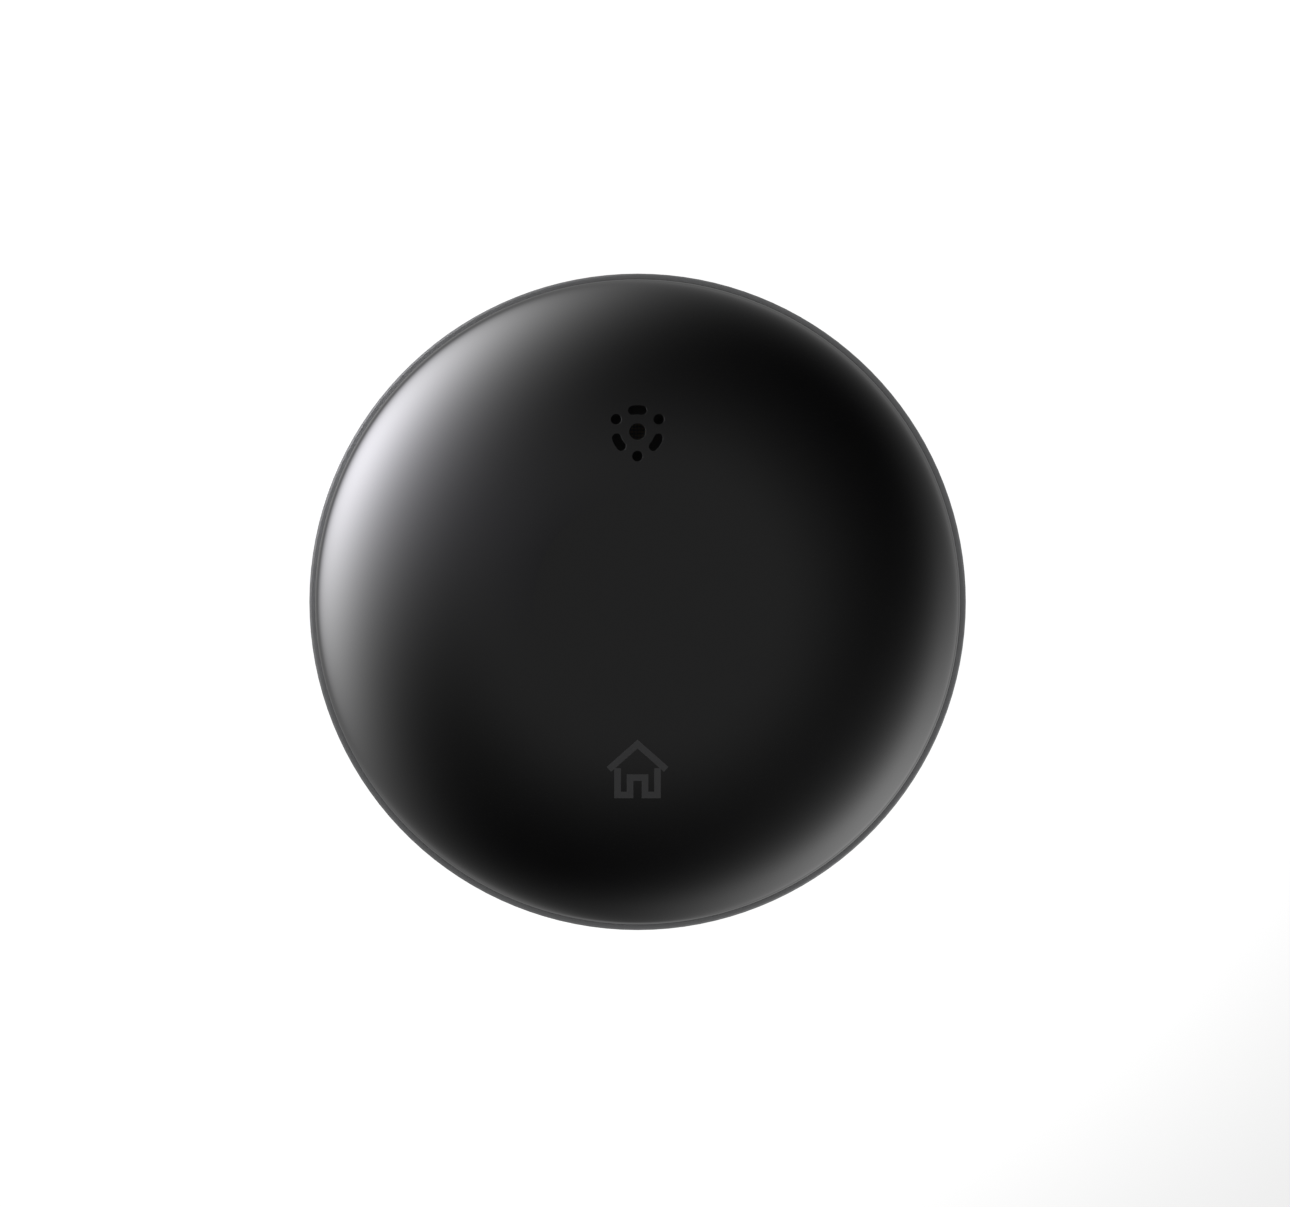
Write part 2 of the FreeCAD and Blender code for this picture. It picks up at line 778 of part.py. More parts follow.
def flash_legs():
    x, y = flash_place()
    legs = []
    for side in (-1, 1):
        for i in range(4):
            across = x + (i - 1.5) * flash_leg_pitch
            along = y + side * (flash_size[1] + flash_leg[1]) / 2
            foot = block_at(across, along, board_top, flash_leg)
            riser = block_at(across, y + side * (flash_size[1] / 2 + flash_leg[2] / 2), board_top,
                             (flash_leg[0], flash_leg[2], flash_size[2] / 2))
            legs.append(tidy(foot.fuse(riser)))
    return legs


def crystal():
    x, y = module_centre(wlan_left, wlan_board)
    return block_at(x, y - wlan_board[1] / 2 - 2 * crystal_size[1], board_top, crystal_size)


def chip_row(left, size, count):
    """Small parts in a row under a module's lower edge."""
    x, y = module_centre(left, size)
    below = y - size[1] / 2 - chip_size[1]
    first = x - (count - 1) / 2 * chip_pitch
    return [block_at(first + i * chip_pitch, below, board_top, chip_size) for i in range(count)]


def under_board(x, y, size):
    return block_at(x, y, board_bottom - size[2], size)


def power_parts():
    """Supply parts hang under the board between the port and the weight."""
    x, y = module_centre(mesh_left, mesh_board)
    step = choke_size[1] + supply_gap
    choke = under_board(x, y + step, choke_size)
    caps = [under_board(x, y - i * (bulk_size[1] + supply_gap), bulk_size) for i in range(2)]
    chip = under_board(x + choke_size[0] + supply_gap, y + step / 2, power_chip_size)
    return choke, caps, chip


# ---- Write one file for each piece ---------------------------------------------------
def save(name, solids):
    solids = solids if isinstance(solids, list) else [solids]
    for solid in solids:
        if not solid.isValid() or len(solid.Solids) != 1:
            raise ValueError(f"{name} isn't one valid solid: {len(solid.Solids)}")
    shape = solids[0].Solids[0] if len(solids) == 1 else Part.makeCompound([s.Solids[0] for s in solids])
    shape.exportStep(f"parts/{name}.step")


def main():
    os.makedirs("parts", exist_ok=True)
    choke, bulk_capacitors, power_chip = power_parts()
    pieces = {
        "dome_cover": dome_cover(),
        "dust_mesh": dust_mesh(),
        "base_shell": base_shell(),
        "foot_ring": foot_ring(),
        "id_label": id_label(),
        "case_screws": case_screws(),
        "chamber_gasket": chamber_gasket(),
        "sounder_case": sounder_case(),
        "sounder_base": sounder_base(),
        "sounder_disc": sounder_disc(),
        "sounder_ceramic": sounder_ceramic(),
        "sounder_pins": sounder_pins(),
        "light_guide": light_guide(),
        "status_lamp": status_lamp(),
        "main_board": main_board(),
        "board_screws": board_screws(),
        "port_shell": port_shell(),
        "port_insulator": port_insulator(),
        "port_contacts": port_contacts(),
        "reset_button": reset_button(),
        "switch_body": switch_body(),
        "switch_plunger": switch_plunger(),
        "switch_frame": switch_frame(),
        "plate_tape": plate_tape(),
        "ballast_plate": ballast_plate(),
        "thermal_pad": thermal_pad(),
        "wlan_board": module_board(wlan_left, wlan_board),
        "wlan_can": module_can(wlan_left, wlan_board, wlan_can),
        "wlan_chip": module_chip(wlan_left, wlan_board, wlan_can, wlan_chip),
        "mesh_radio_board": module_board(mesh_left, mesh_board),
        "mesh_radio_can": module_can(mesh_left, mesh_board, mesh_can),
        "mesh_radio_chip": module_chip(mesh_left, mesh_board, mesh_can, mesh_chip),
        "wlan_antenna": antenna(wlan_antenna_angle),
        "mesh_radio_antenna": antenna(mesh_antenna_angle),
        "flash_chip": flash_chip(),
        "flash_legs": flash_legs(),
        "crystal": crystal(),
        "chip_capacitors": chip_row(wlan_left, wlan_board, 6),
        "chip_resistors": chip_row(mesh_left, mesh_board, 5),
        "choke": choke,
        "bulk_capacitors": bulk_capacitors,
        "power_chip": power_chip,
    }
    for name, solids in pieces.items():
        save(name, solids)


main()
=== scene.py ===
import math

import bmesh
import bpy
from mathutils import Matrix, Vector, geometry


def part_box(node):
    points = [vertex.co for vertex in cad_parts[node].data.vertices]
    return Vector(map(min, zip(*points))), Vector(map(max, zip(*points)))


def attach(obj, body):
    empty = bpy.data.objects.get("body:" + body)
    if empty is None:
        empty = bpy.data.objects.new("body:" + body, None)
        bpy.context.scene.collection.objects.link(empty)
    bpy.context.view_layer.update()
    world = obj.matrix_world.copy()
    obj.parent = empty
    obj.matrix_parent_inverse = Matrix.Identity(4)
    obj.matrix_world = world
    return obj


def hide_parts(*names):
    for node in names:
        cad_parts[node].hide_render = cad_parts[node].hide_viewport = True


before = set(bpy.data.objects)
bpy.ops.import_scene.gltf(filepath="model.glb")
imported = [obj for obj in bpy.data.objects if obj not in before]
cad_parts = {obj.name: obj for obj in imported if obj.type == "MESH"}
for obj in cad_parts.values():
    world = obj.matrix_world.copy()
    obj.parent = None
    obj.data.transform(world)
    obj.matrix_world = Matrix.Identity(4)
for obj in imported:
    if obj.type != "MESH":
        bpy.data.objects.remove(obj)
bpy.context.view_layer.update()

MM = 0.001


# ---- Main board ----------------------------------------------------------------------
# A round four-layer glass-epoxy board, green solder mask over copper, notched round the
# cover's four bosses. A row of plated holes ties its two ground layers together at the edge.

class Sum:
    """A node's output that works in sums, so that a pattern is written as an expression."""

    def __init__(self, nodes, socket):
        self.nodes, self.socket = nodes, socket

    def maths(self, operation, *values):
        return self.nodes.add("ShaderNodeMath", {"operation": operation}, dict(enumerate(values)))

    def __add__(self, other):
        return self.maths("ADD", self, other)

    def __sub__(self, other):
        return self.maths("SUBTRACT", self, other)

    def __rsub__(self, other):
        return self.maths("SUBTRACT", other, self)

    def __mul__(self, other):
        return self.maths("MULTIPLY", self, other)

    def __truediv__(self, other):
        return self.maths("DIVIDE", self, other)

    def __rtruediv__(self, other):
        return self.maths("DIVIDE", other, self)

    def __pow__(self, other):
        return self.maths("POWER", self, other)

    def __rpow__(self, other):
        return self.maths("POWER", other, self)

    def __neg__(self):
        return self * -1

    def __abs__(self):
        return self.maths("ABSOLUTE", self)

    __radd__ = __add__
    __rmul__ = __mul__

    def cosine(self):
        return self.maths("COSINE", self)

    def sine(self):
        return self.maths("SINE", self)

    def above(self, limit):
        return self.maths("GREATER_THAN", self, limit)

    def below(self, limit):
        return self.maths("LESS_THAN", self, limit)

    def at_least(self, least):
        return self.maths("MAXIMUM", self, least)

    def wave(self, pitch):
        """0 at each whole pitch and 1 halfway between."""
        return self.maths("PINGPONG", self / pitch * 2, 1)

    def step(self, start, end):
        """0 up to start and 1 from end on, with a smooth rise between."""
        return self.nodes.add("ShaderNodeMapRange", {"interpolation_type": "SMOOTHSTEP"},
                              {"Value": self, "From Min": start, "From Max": end})


class Nodes:
    """Adds nodes to a tree, one call for each."""

    def __init__(self, tree):
        self.tree = tree

    def add(self, kind, settings=None, sockets=None, output=0):
        node = self.tree.nodes.new(kind)
        for name, value in (settings or {}).items():
            setattr(node, name, value)
        for name, value in (sockets or {}).items():
            self.feed(node.inputs[name], value)
        return Sum(self, node.outputs[output])

    def feed(self, slot, value):
        """Links a node's output to a socket, or sets the socket's own value."""
        if isinstance(value, Sum):
            self.tree.links.new(value.socket, slot)
        else:
            slot.default_value = value

    def split(self, vector):
        """The three parts of a vector."""
        parts = self.add("ShaderNodeSeparateXYZ", sockets={"Vector": vector})
        return [Sum(self, output) for output in parts.socket.node.outputs]


class Finish(Nodes):
    """A material. What is the same all over goes straight onto its shader's sockets."""

    def __init__(self, name, colour, roughness, **constants):
        self.material = bpy.data.materials.new(name)
        self.material.use_nodes = True
        super().__init__(self.material.node_tree)
        self.shader = self.tree.nodes["Principled BSDF"]
        self.place = self.add("ShaderNodeTexCoord", output="Object")
        self.set(base_color=(*colour, 1.0), roughness=roughness, **constants)

    def set(self, **sockets):
        for name, value in sockets.items():
            title = name.replace("_", " ").title().replace("Ior", "IOR")
            self.feed(self.shader.inputs[title], value)

    def axes(self, centre=(0.0, 0.0, 0.0)):
        """The three coordinates, in metres, from a centre."""
        moved = self.add("ShaderNodeVectorMath", {"operation": "SUBTRACT"}, {0: self.place, 1: centre})
        return self.split(moved)

    def noise(self, size, detail=2.0, stretch=(1.0, 1.0, 1.0), seed=0.0):
        """Noise from 0 to 1 whose bumps are about size across."""
        place = self.add("ShaderNodeMapping", sockets={"Vector": self.place, "Scale": stretch,
                                                       "Location": (seed, seed, seed)})
        return self.add("ShaderNodeTexNoise", sockets={"Vector": place, "Scale": 1 / size, "Detail": detail})

    def cells(self, size, output="Distance"):
        """Round cells about size across: how far each place is from its cell's middle, or its colour."""
        return self.add("ShaderNodeTexVoronoi", sockets={"Vector": self.place, "Scale": 1 / size},
                        output=output)

    def mix(self, share, first, second):
        """A colour between two others."""
        return self.add("ShaderNodeMix", {"data_type": "RGBA"},
                        {"Factor": share, 6: padded_colour(first), 7: padded_colour(second)}, output=2)

    def bump(self, height, depth):
        """Raises the surface by depth where height is 1."""
        self.set(normal=self.add("ShaderNodeBump", sockets={"Distance": depth, "Height": height}))


def padded_colour(colour):
    """A colour socket as it is, or a fixed colour with its alpha."""
    return colour if isinstance(colour, Sum) else (*colour, 1.0)


def dress(finish, *names):
    """Gives CAD nodes a material."""
    for name in names:
        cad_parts[name].material_slots[0].material = finish.material


def middle(name):
    """The middle of a CAD node's box."""
    low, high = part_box(name)
    return (Vector(low) + Vector(high)) / 2


def solder_mask(name, dark, light, copper_pitch):
    """Mask over copper: wide pours, with fine tracks between them that stand a little proud."""
    mask = Finish(name, dark, 0.3, coat_weight=0.3, coat_roughness=0.2)
    x, y, _ = mask.axes()
    pours = mask.noise(7 * MM, detail=0.0).step(0.5, 0.51)
    tracks = 1 - abs((x + y).wave(copper_pitch) - 0.5).step(0.12, 0.16)
    copper = pours.at_least(tracks * mask.noise(5 * MM, detail=0.0, seed=3.0).step(0.5, 0.51))
    mask.set(base_color=mask.mix(copper, dark, light),
             roughness=0.26 + 0.1 * mask.noise(0.6 * MM))
    mask.bump(copper, 0.03 * MM)
    return mask


class Growth(Nodes):
    """A geometry node tree. Its sizes are named inputs, and it ends in plain, painted geometry."""

    def __init__(self, name, **sizes):
        super().__init__(bpy.data.node_groups.new(name, "GeometryNodeTree"))
        self.sizes = sizes
        kinds = {int: "NodeSocketInt", float: "NodeSocketFloat"}
        for title, value in sizes.items():
            self.tree.interface.new_socket(title, in_out="INPUT", socket_type=kinds[type(value)])
        self.tree.interface.new_socket("Geometry", in_out="OUTPUT", socket_type="NodeSocketGeometry")
        self.given = self.tree.nodes.new("NodeGroupInput")

    def size(self, title):
        return Sum(self, self.given.outputs[title])

    def vector(self, x=0.0, y=0.0, z=0.0):
        return self.add("ShaderNodeCombineXYZ", sockets={"X": x, "Y": y, "Z": z})

    def position(self):
        return self.split(self.add("GeometryNodeInputPosition"))

    def join(self, *pieces):
        joined = self.add("GeometryNodeJoinGeometry")
        for piece in pieces:
            self.feed(joined.socket.node.inputs[0], piece)
        return joined

    def piece(self, name, geometry_out, finish):
        """Runs the tree once and keeps its result as a plain mesh."""
        real = self.add("GeometryNodeRealizeInstances", sockets={"Geometry": geometry_out})
        painted = self.add("GeometryNodeSetMaterial", sockets={"Geometry": real, "Material": finish.material})
        self.feed(self.tree.nodes.new("NodeGroupOutput").inputs["Geometry"], painted)
        piece = linked(name, bpy.data.meshes.new(name))
        grower = piece.modifiers.new("grow", "NODES")
        grower.node_group = self.tree
        for item in self.tree.interface.items_tree:
            if item.in_out == "INPUT":
                grower[item.identifier] = self.sizes[item.name]
        return flattened(piece)


def linked(name, mesh):
    """A new piece in the scene."""
    piece = bpy.data.objects.new(name, mesh)
    bpy.context.scene.collection.objects.link(piece)
    return piece


def flattened(piece):
    """Turns a piece's modifiers into its own plain mesh."""
    bpy.context.view_layer.update()
    evaluated = piece.evaluated_get(bpy.context.evaluated_depsgraph_get())
    piece.data = bpy.data.meshes.new_from_object(evaluated)
    piece.modifiers.clear()
    return piece


board_green = solder_mask("green_mask", (0.006, 0.035, 0.018), (0.012, 0.075, 0.036), 0.8 * MM)
dress(board_green, "main_board")

gold = Finish("plated_gold", (0.75, 0.52, 0.2), 0.25, metallic=1.0)
gold.set(roughness=0.2 + 0.15 * gold.noise(0.3 * MM))

board_low, board_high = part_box("main_board")
via_inset, rear_inset, plating = 0.9 * MM, 0.8 * MM, 0.06 * MM
via = Growth("edge_vias", row_radius=board_high[0] - via_inset, rear_limit=board_high[1] - rear_inset,
             pad_radius=0.32 * MM, hole_radius=0.15 * MM, plating=plating, count=84)
row = via.add("GeometryNodeCurvePrimitiveCircle", sockets={"Resolution": via.size("count"),
                                                           "Radius": via.size("row_radius")})
pad_line = via.add("GeometryNodeCurvePrimitiveCircle", sockets={"Resolution": 14, "Radius": (
    via.size("pad_radius") + via.size("hole_radius")) / 2})
pad_band = via.add("GeometryNodeCurvePrimitiveQuadrilateral", sockets={
    "Width": via.size("pad_radius") - via.size("hole_radius"), "Height": via.size("plating")})
pad = via.add("GeometryNodeCurveToMesh", sockets={"Curve": pad_line, "Profile Curve": pad_band})
spot_x, spot_y, _ = via.position()
turn = via.add("ShaderNodeMath", {"operation": "ARCTAN2"}, {0: spot_y, 1: spot_x})
clear_of_bosses = (turn * 4).cosine().above(-0.8)
on_board = clear_of_bosses * spot_y.below(via.size("rear_limit"))
layers = []
for level in (board_low[2], board_high[2]):
    layer = via.add("GeometryNodeTransform", sockets={"Geometry": row, "Translation": via.vector(z=level)})
    layers.append(via.add("GeometryNodeInstanceOnPoints", sockets={"Points": layer, "Instance": pad,
                                                                   "Selection": on_board}))
edge_vias = via.piece("edge_vias", via.join(*layers), gold)
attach(edge_vias, "hub")


# ---- Radio modules -------------------------------------------------------------------
# Two ready-made radios, one for the home network and one for the mesh of sensors. Each is a
# small dark blue board, soldered by the plated half holes along its sides, under a tinned can.

module_blue = solder_mask("blue_mask", (0.006, 0.012, 0.035), (0.012, 0.024, 0.07), 0.5 * MM)
dress(module_blue, "wlan_board", "mesh_radio_board")

tin = Finish("tinned_sheet", (0.62, 0.62, 0.6), 0.3, metallic=1.0)
rolled = tin.noise(0.25 * MM, stretch=(1.0, 0.06, 1.0))
stains = tin.noise(2.5 * MM, detail=4.0)
tin.set(base_color=tin.mix(stains, (0.5, 0.5, 0.49), (0.68, 0.68, 0.66)),
        roughness=0.22 + 0.2 * rolled + 0.12 * stains)
tin.bump(rolled, 0.004 * MM)
dress(tin, "wlan_can", "mesh_radio_can", "wlan_antenna", "mesh_radio_antenna", "crystal", "switch_frame",
      "port_shell")

resin = Finish("chip_resin", (0.02, 0.02, 0.022), 0.5)
grains = resin.noise(0.08 * MM, detail=3.0)
resin.set(base_color=resin.mix(grains, (0.014, 0.014, 0.015), (0.032, 0.032, 0.034)),
          roughness=0.42 + 0.18 * grains)
resin.bump(grains, 0.012 * MM)
dress(resin, "wlan_chip", "mesh_radio_chip", "flash_chip", "power_chip", "switch_body", "chip_resistors",
      "port_insulator")


# ---- Small parts on the board --------------------------------------------------------
# Capacitors in ceramic and tantalum, resistors, a ferrite choke, a canned crystal and a memory
# chip in black resin. All are soldered to the board by tinned ends, pads or legs.

tinned_wire = Finish("tinned_wire", (0.62, 0.62, 0.62), 0.3, metallic=1.0)
dull = tinned_wire.noise(0.4 * MM, detail=3.0)
tinned_wire.set(base_color=tinned_wire.mix(dull, (0.48, 0.48, 0.48), (0.7, 0.7, 0.7)),
                roughness=0.25 + 0.25 * dull)
dress(tinned_wire, "flash_legs", "sounder_pins")


def capped(name, node, colour, pale, cap):
    """A moulded body between two tinned end caps, cap long, along Y."""
    part = Finish(name, colour, 0.45)
    low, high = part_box(node)
    _, y, _ = part.axes(centre=tuple(middle(node)))
    end = (high[1] - low[1]) / 2 - cap
    speckle = part.noise(0.15 * MM)
    body = part.mix(speckle, colour, pale)
    on_cap = abs(y).step(end, end + 0.02 * MM)
    part.set(base_color=part.mix(on_cap, body, (0.62, 0.62, 0.6)), metallic=on_cap,
             roughness=0.5 - 0.2 * on_cap)
    part.bump(speckle, 0.008 * MM)
    dress(part, node)


capped("ceramic_capacitor", "chip_capacitors", (0.42, 0.29, 0.17), (0.5, 0.36, 0.22), 0.25 * MM)

tantalum = Finish("tantalum", (0.6, 0.4, 0.08), 0.5)
mottle = tantalum.noise(0.3 * MM, detail=4.0)
tantalum.set(base_color=tantalum.mix(mottle, (0.52, 0.33, 0.06), (0.66, 0.45, 0.1)),
             roughness=0.42 + 0.15 * tantalum.noise(0.5 * MM))
dress(tantalum, "bulk_capacitors")

ferrite = Finish("ferrite", (0.05, 0.05, 0.055), 0.55)
pits = ferrite.cells(0.2 * MM)
ferrite.set(base_color=ferrite.mix(pits, (0.035, 0.035, 0.038), (0.075, 0.075, 0.08)),
            roughness=0.45 + 0.2 * pits)
ferrite.bump(pits, 0.02 * MM)
dress(ferrite, "choke")


# ---- Power port ----------------------------------------------------------------------
# The drawn steel shell is soldered through the board by four legs. Inside it a black tongue
# carries two rows of gold-plated contacts.

dress(gold, "port_contacts")


# ---- Reset switch --------------------------------------------------------------------
# A side-pressed switch, black resin in a tinned frame, is soldered under the board. Its
# rust-red plunger stands against the button.

plunger_red = Finish("plunger_red", (0.3, 0.08, 0.035), 0.4)
flow = plunger_red.noise(0.3 * MM)
plunger_red.set(base_color=plunger_red.mix(flow, (0.26, 0.065, 0.03), (0.34, 0.1, 0.045)),
                roughness=0.36 + 0.12 * plunger_red.noise(0.12 * MM))
dress(plunger_red, "switch_plunger")


# ---- Sounder -------------------------------------------------------------------------
# A silvered ceramic disc, bonded to a brass one, is clamped between a black cup and its case.
# Two tinned pins solder it to the board, right under the sound holes.

sounder_black = Finish("sounder_black", (0.022, 0.022, 0.024), 0.42)
sheen = sounder_black.noise(1 * MM)
sounder_black.set(base_color=sounder_black.mix(sheen, (0.018, 0.018, 0.02), (0.03, 0.03, 0.032)),
                  roughness=0.36 + 0.14 * sounder_black.noise(0.1 * MM))
dress(sounder_black, "sounder_case", "sounder_base")

brass = Finish("rolled_brass", (0.62, 0.42, 0.16), 0.3, metallic=1.0)
lines = brass.noise(0.1 * MM, stretch=(1.0, 0.03, 1.0))
brass.set(base_color=brass.mix(brass.noise(1.5 * MM, detail=4.0), (0.55, 0.36, 0.13), (0.7, 0.5, 0.2)),
          roughness=0.22 + 0.2 * lines)
dress(brass, "sounder_disc")

silvered = Finish("silvered_ceramic", (0.7, 0.68, 0.63), 0.4)
tarnish = silvered.noise(0.8 * MM, detail=4.0)
silvered.set(base_color=silvered.mix(tarnish, (0.6, 0.58, 0.53), (0.76, 0.74, 0.7)),
             roughness=0.35 + 0.2 * silvered.noise(0.2 * MM))
dress(silvered, "sounder_ceramic")


# ---- Status lamp ---------------------------------------------------------------------
# A white chip lamp with a yellowish clear lens over its middle, soldered to the board straight
# under the light guide.

lamp = Finish("lamp_white", (0.8, 0.8, 0.76), 0.35)
lamp_x, lamp_y, _ = lamp.axes(centre=tuple(middle("status_lamp")))
off_centre = (lamp_x * lamp_x + lamp_y * lamp_y) ** 0.5
lamp.set(base_color=lamp.mix(off_centre.step(0.4 * MM, 0.45 * MM), (0.75, 0.66, 0.2), (0.82, 0.82, 0.78)),
         roughness=0.3 + 0.15 * lamp.noise(0.2 * MM))
dress(lamp, "status_lamp")


# ---- Base shell ----------------------------------------------------------------------
# A moulded shell in dark grey plastic with a fine spark-eroded grain. Its posts carry the
# board and the screws, its rear has the plug's bay, and its lip is the line round the cover.

grained_grey = Finish("grained_grey", (0.13, 0.131, 0.134), 0.45)
spark = grained_grey.noise(0.09 * MM, detail=3.0)
cloud = grained_grey.noise(6 * MM, detail=3.0, seed=1.0)
grained_grey.set(base_color=grained_grey.mix(cloud, (0.12, 0.121, 0.124), (0.14, 0.141, 0.144)),
                 roughness=0.4 + 0.12 * spark + 0.05 * cloud)
grained_grey.bump(spark, 0.012 * MM)
dress(grained_grey, "base_shell")


# ---- Weight, tape and heat pad -------------------------------------------------------
# A zinc-plated steel disc, taped to the floor of the base, keeps the light hub in its place.
# A soft blue-grey pad carries the radio's heat into it.

zinc = Finish("zinc_plate", (0.5, 0.5, 0.51), 0.35, metallic=1.0)
spangle = zinc.cells(2.5 * MM, output="Color")
spangle_share = zinc.add("ShaderNodeSeparateColor", sockets={"Color": spangle})
zinc.set(base_color=zinc.mix(spangle_share, (0.42, 0.42, 0.43), (0.56, 0.56, 0.57)),
         roughness=0.28 + 0.14 * spangle_share + 0.1 * zinc.noise(0.3 * MM))
dress(zinc, "ballast_plate", "case_screws", "board_screws")

tape = Finish("tape", (0.6, 0.58, 0.52), 0.6)
tape.set(base_color=tape.mix(tape.noise(1 * MM, detail=4.0), (0.54, 0.52, 0.46), (0.66, 0.64, 0.58)),
         roughness=0.5 + 0.2 * tape.noise(0.4 * MM))
dress(tape, "plate_tape")

gel = Finish("gel_pad", (0.26, 0.33, 0.42), 0.55)
gel.set(base_color=gel.mix(gel.noise(0.5 * MM, detail=4.0), (0.22, 0.29, 0.38), (0.3, 0.37, 0.46)),
        roughness=0.5 + 0.15 * gel.noise(0.2 * MM))
gel.bump(gel.noise(0.2 * MM), 0.02 * MM)
dress(gel, "thermal_pad")


# ---- Reset button --------------------------------------------------------------------
# A small round button, moulded in grey plastic a shade darker than the base. Its flange keeps
# it in its bore, between the bay's wall and the switch.

button_grey = Finish("button_grey", (0.1, 0.101, 0.104), 0.4)
button_grain = button_grey.noise(0.08 * MM, detail=3.0)
button_cloud = button_grey.noise(1 * MM)
button_grey.set(base_color=button_grey.mix(button_cloud, (0.092, 0.093, 0.096), (0.11, 0.111, 0.114)),
                roughness=0.36 + 0.12 * button_grain)
button_grey.bump(button_grain, 0.008 * MM)
dress(button_grey, "reset_button")


# ---- Gasket, light guide and dust mesh -----------------------------------------------
# A foam ring seals the sounder to the cover. A clear rod takes the lamp's light up to a thin
# spot in the cover. Fine black cloth, woven from round threads, is glued behind the holes.

foam = Finish("black_foam", (0.025, 0.025, 0.025), 0.85)
bubbles = foam.cells(0.18 * MM)
foam.set(base_color=foam.mix(bubbles, (0.015, 0.015, 0.015), (0.05, 0.05, 0.05)),
         roughness=0.75 + 0.2 * bubbles)
foam.bump(bubbles, 0.06 * MM)
dress(foam, "chamber_gasket")

clear = Finish("clear_rod", (0.93, 0.95, 0.96), 0.08, transmission_weight=1.0, ior=1.58)
clear.set(roughness=0.05 + 0.1 * clear.noise(0.5 * MM))
dress(clear, "light_guide")

base_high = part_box("base_shell")[1]
cover_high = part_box("dome_cover")[1]
cloth_low, cloth_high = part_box("dust_mesh")
parting = base_high[2]
dome_radius = cover_high[0]
dome_rise = cover_high[2] - parting
dome_wall = 2.0 * MM
sound_y = middle("chamber_gasket").y
cloth_radius = (cloth_high[0] - cloth_low[0]) / 2
pitch = 0.17 * MM
thread_count = int(2 * cloth_radius / pitch) + 1
points_per_crossing = 4

cloth_black = Finish("black_cloth", (0.012, 0.012, 0.012), 0.6)
dye = cloth_black.noise(0.1 * MM)
cloth_black.set(base_color=cloth_black.mix(dye, (0.008, 0.008, 0.008), (0.018, 0.018, 0.018)),
                roughness=0.5 + 0.25 * cloth_black.noise(0.05 * MM))

weave = Growth("dust_mesh", pitch=pitch, thread_radius=0.06 * MM, cloth_radius=cloth_radius,
               dome_radius=dome_radius - dome_wall, dome_rise=dome_rise - dome_wall, centre_y=sound_y,
               foot=parting, depth=0.13 * MM, thread_count=thread_count,
               thread_points=thread_count * points_per_crossing)
cloth_half = weave.size("thread_count") * weave.size("pitch") / 2
threads = []
for across in (0, 1):
    line = weave.add("GeometryNodeCurvePrimitiveLine", sockets={
        "Start": weave.vector(x=-cloth_half), "End": weave.vector(x=cloth_half)})
    line = weave.add("GeometryNodeResampleCurve", sockets={"Curve": line,
                                                           "Count": weave.size("thread_points")})
    rack = weave.add("GeometryNodeMeshLine", sockets={
        "Count": weave.size("thread_count"), "Start Location": weave.vector(y=-cloth_half),
        "Offset": weave.vector(y=weave.size("pitch"))})
    warp = weave.add("GeometryNodeInstanceOnPoints", sockets={"Points": rack, "Instance": line})
    warp = weave.add("GeometryNodeRealizeInstances", sockets={"Geometry": warp})
    along, beside, _ = weave.position()
    beat = (along / weave.size("pitch") + beside / weave.size("pitch") + across) * math.pi
    lift = beat.sine() * weave.size("thread_radius")
    place_x, place_y = (beside, along) if across else (along, beside)
    from_axis = place_y + weave.size("centre_y")
    dome_square = weave.size("dome_radius") * weave.size("dome_radius")
    share = (place_x * place_x + from_axis * from_axis) / dome_square
    height = weave.size("foot") + weave.size("dome_rise") * (1 - share) ** 0.5 - weave.size("depth") + lift
    threads.append(weave.add("GeometryNodeSetPosition", sockets={
        "Geometry": warp, "Position": weave.vector(x=place_x, y=from_axis, z=height)}))
cloth_x, cloth_y, _ = weave.position()
cloth_y = cloth_y - weave.size("centre_y")
cut_off = ((cloth_x * cloth_x + cloth_y * cloth_y) ** 0.5).above(weave.size("cloth_radius"))
cloth = weave.add("GeometryNodeDeleteGeometry", {"domain": "POINT"}, {
    "Geometry": weave.join(*threads), "Selection": cut_off})
thread = weave.add("GeometryNodeCurvePrimitiveCircle", sockets={"Resolution": 5,
                                                                "Radius": weave.size("thread_radius")})
cloth = weave.add("GeometryNodeCurveToMesh", sockets={"Curve": cloth, "Profile Curve": thread,
                                                      "Fill Caps": True})
dust_cloth = weave.piece("dust_cloth", cloth, cloth_black)
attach(dust_cloth, "hub")
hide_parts("dust_mesh")


# ---- Cover ---------------------------------------------------------------------------
# The dome, half an ellipsoid, is one moulding in black plastic with a hard gloss coat. Its
# tongue sits in the base, open over the port's bay, and four screws from below hold it by its
# bosses. Seven sound holes go straight down through it.

SEGMENTS = 192
CORNER_STEPS = 5
PATCH_SHARE = 0.8
hole_round = 0.03 * MM
edge_round = 0.15 * MM
tongue_outer = dome_radius - 2.55 * MM
tongue_inner = tongue_outer - 1.4 * MM
tongue_end = parting - 1.8 * MM
bay_gap = 16.3 * MM
ledge_height = 2.0 * MM
middle_hole = 0.98 * MM
small_hole, small_ring = 0.63 * MM, 2.97 * MM
slot_ring, slot_width, slot_length = 2.63 * MM, 1.1 * MM, 2.25 * MM
chamber_outer, chamber_bore = 6.3 * MM, 4.4 * MM
sleeve_outer, sleeve_bore, sleeve_length = 2.6 * MM, 1.53 * MM, 5.0 * MM
pocket_radius = 1.56 * MM
boss_radius, pilot_radius, pilot_depth = 2.9 * MM, 1.14 * MM, 9.0 * MM
screw_head_radius = 2.1 * MM
boss_end_drop = 0.1 * MM
guide_y = middle("light_guide").y
guide_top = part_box("light_guide")[1][2]


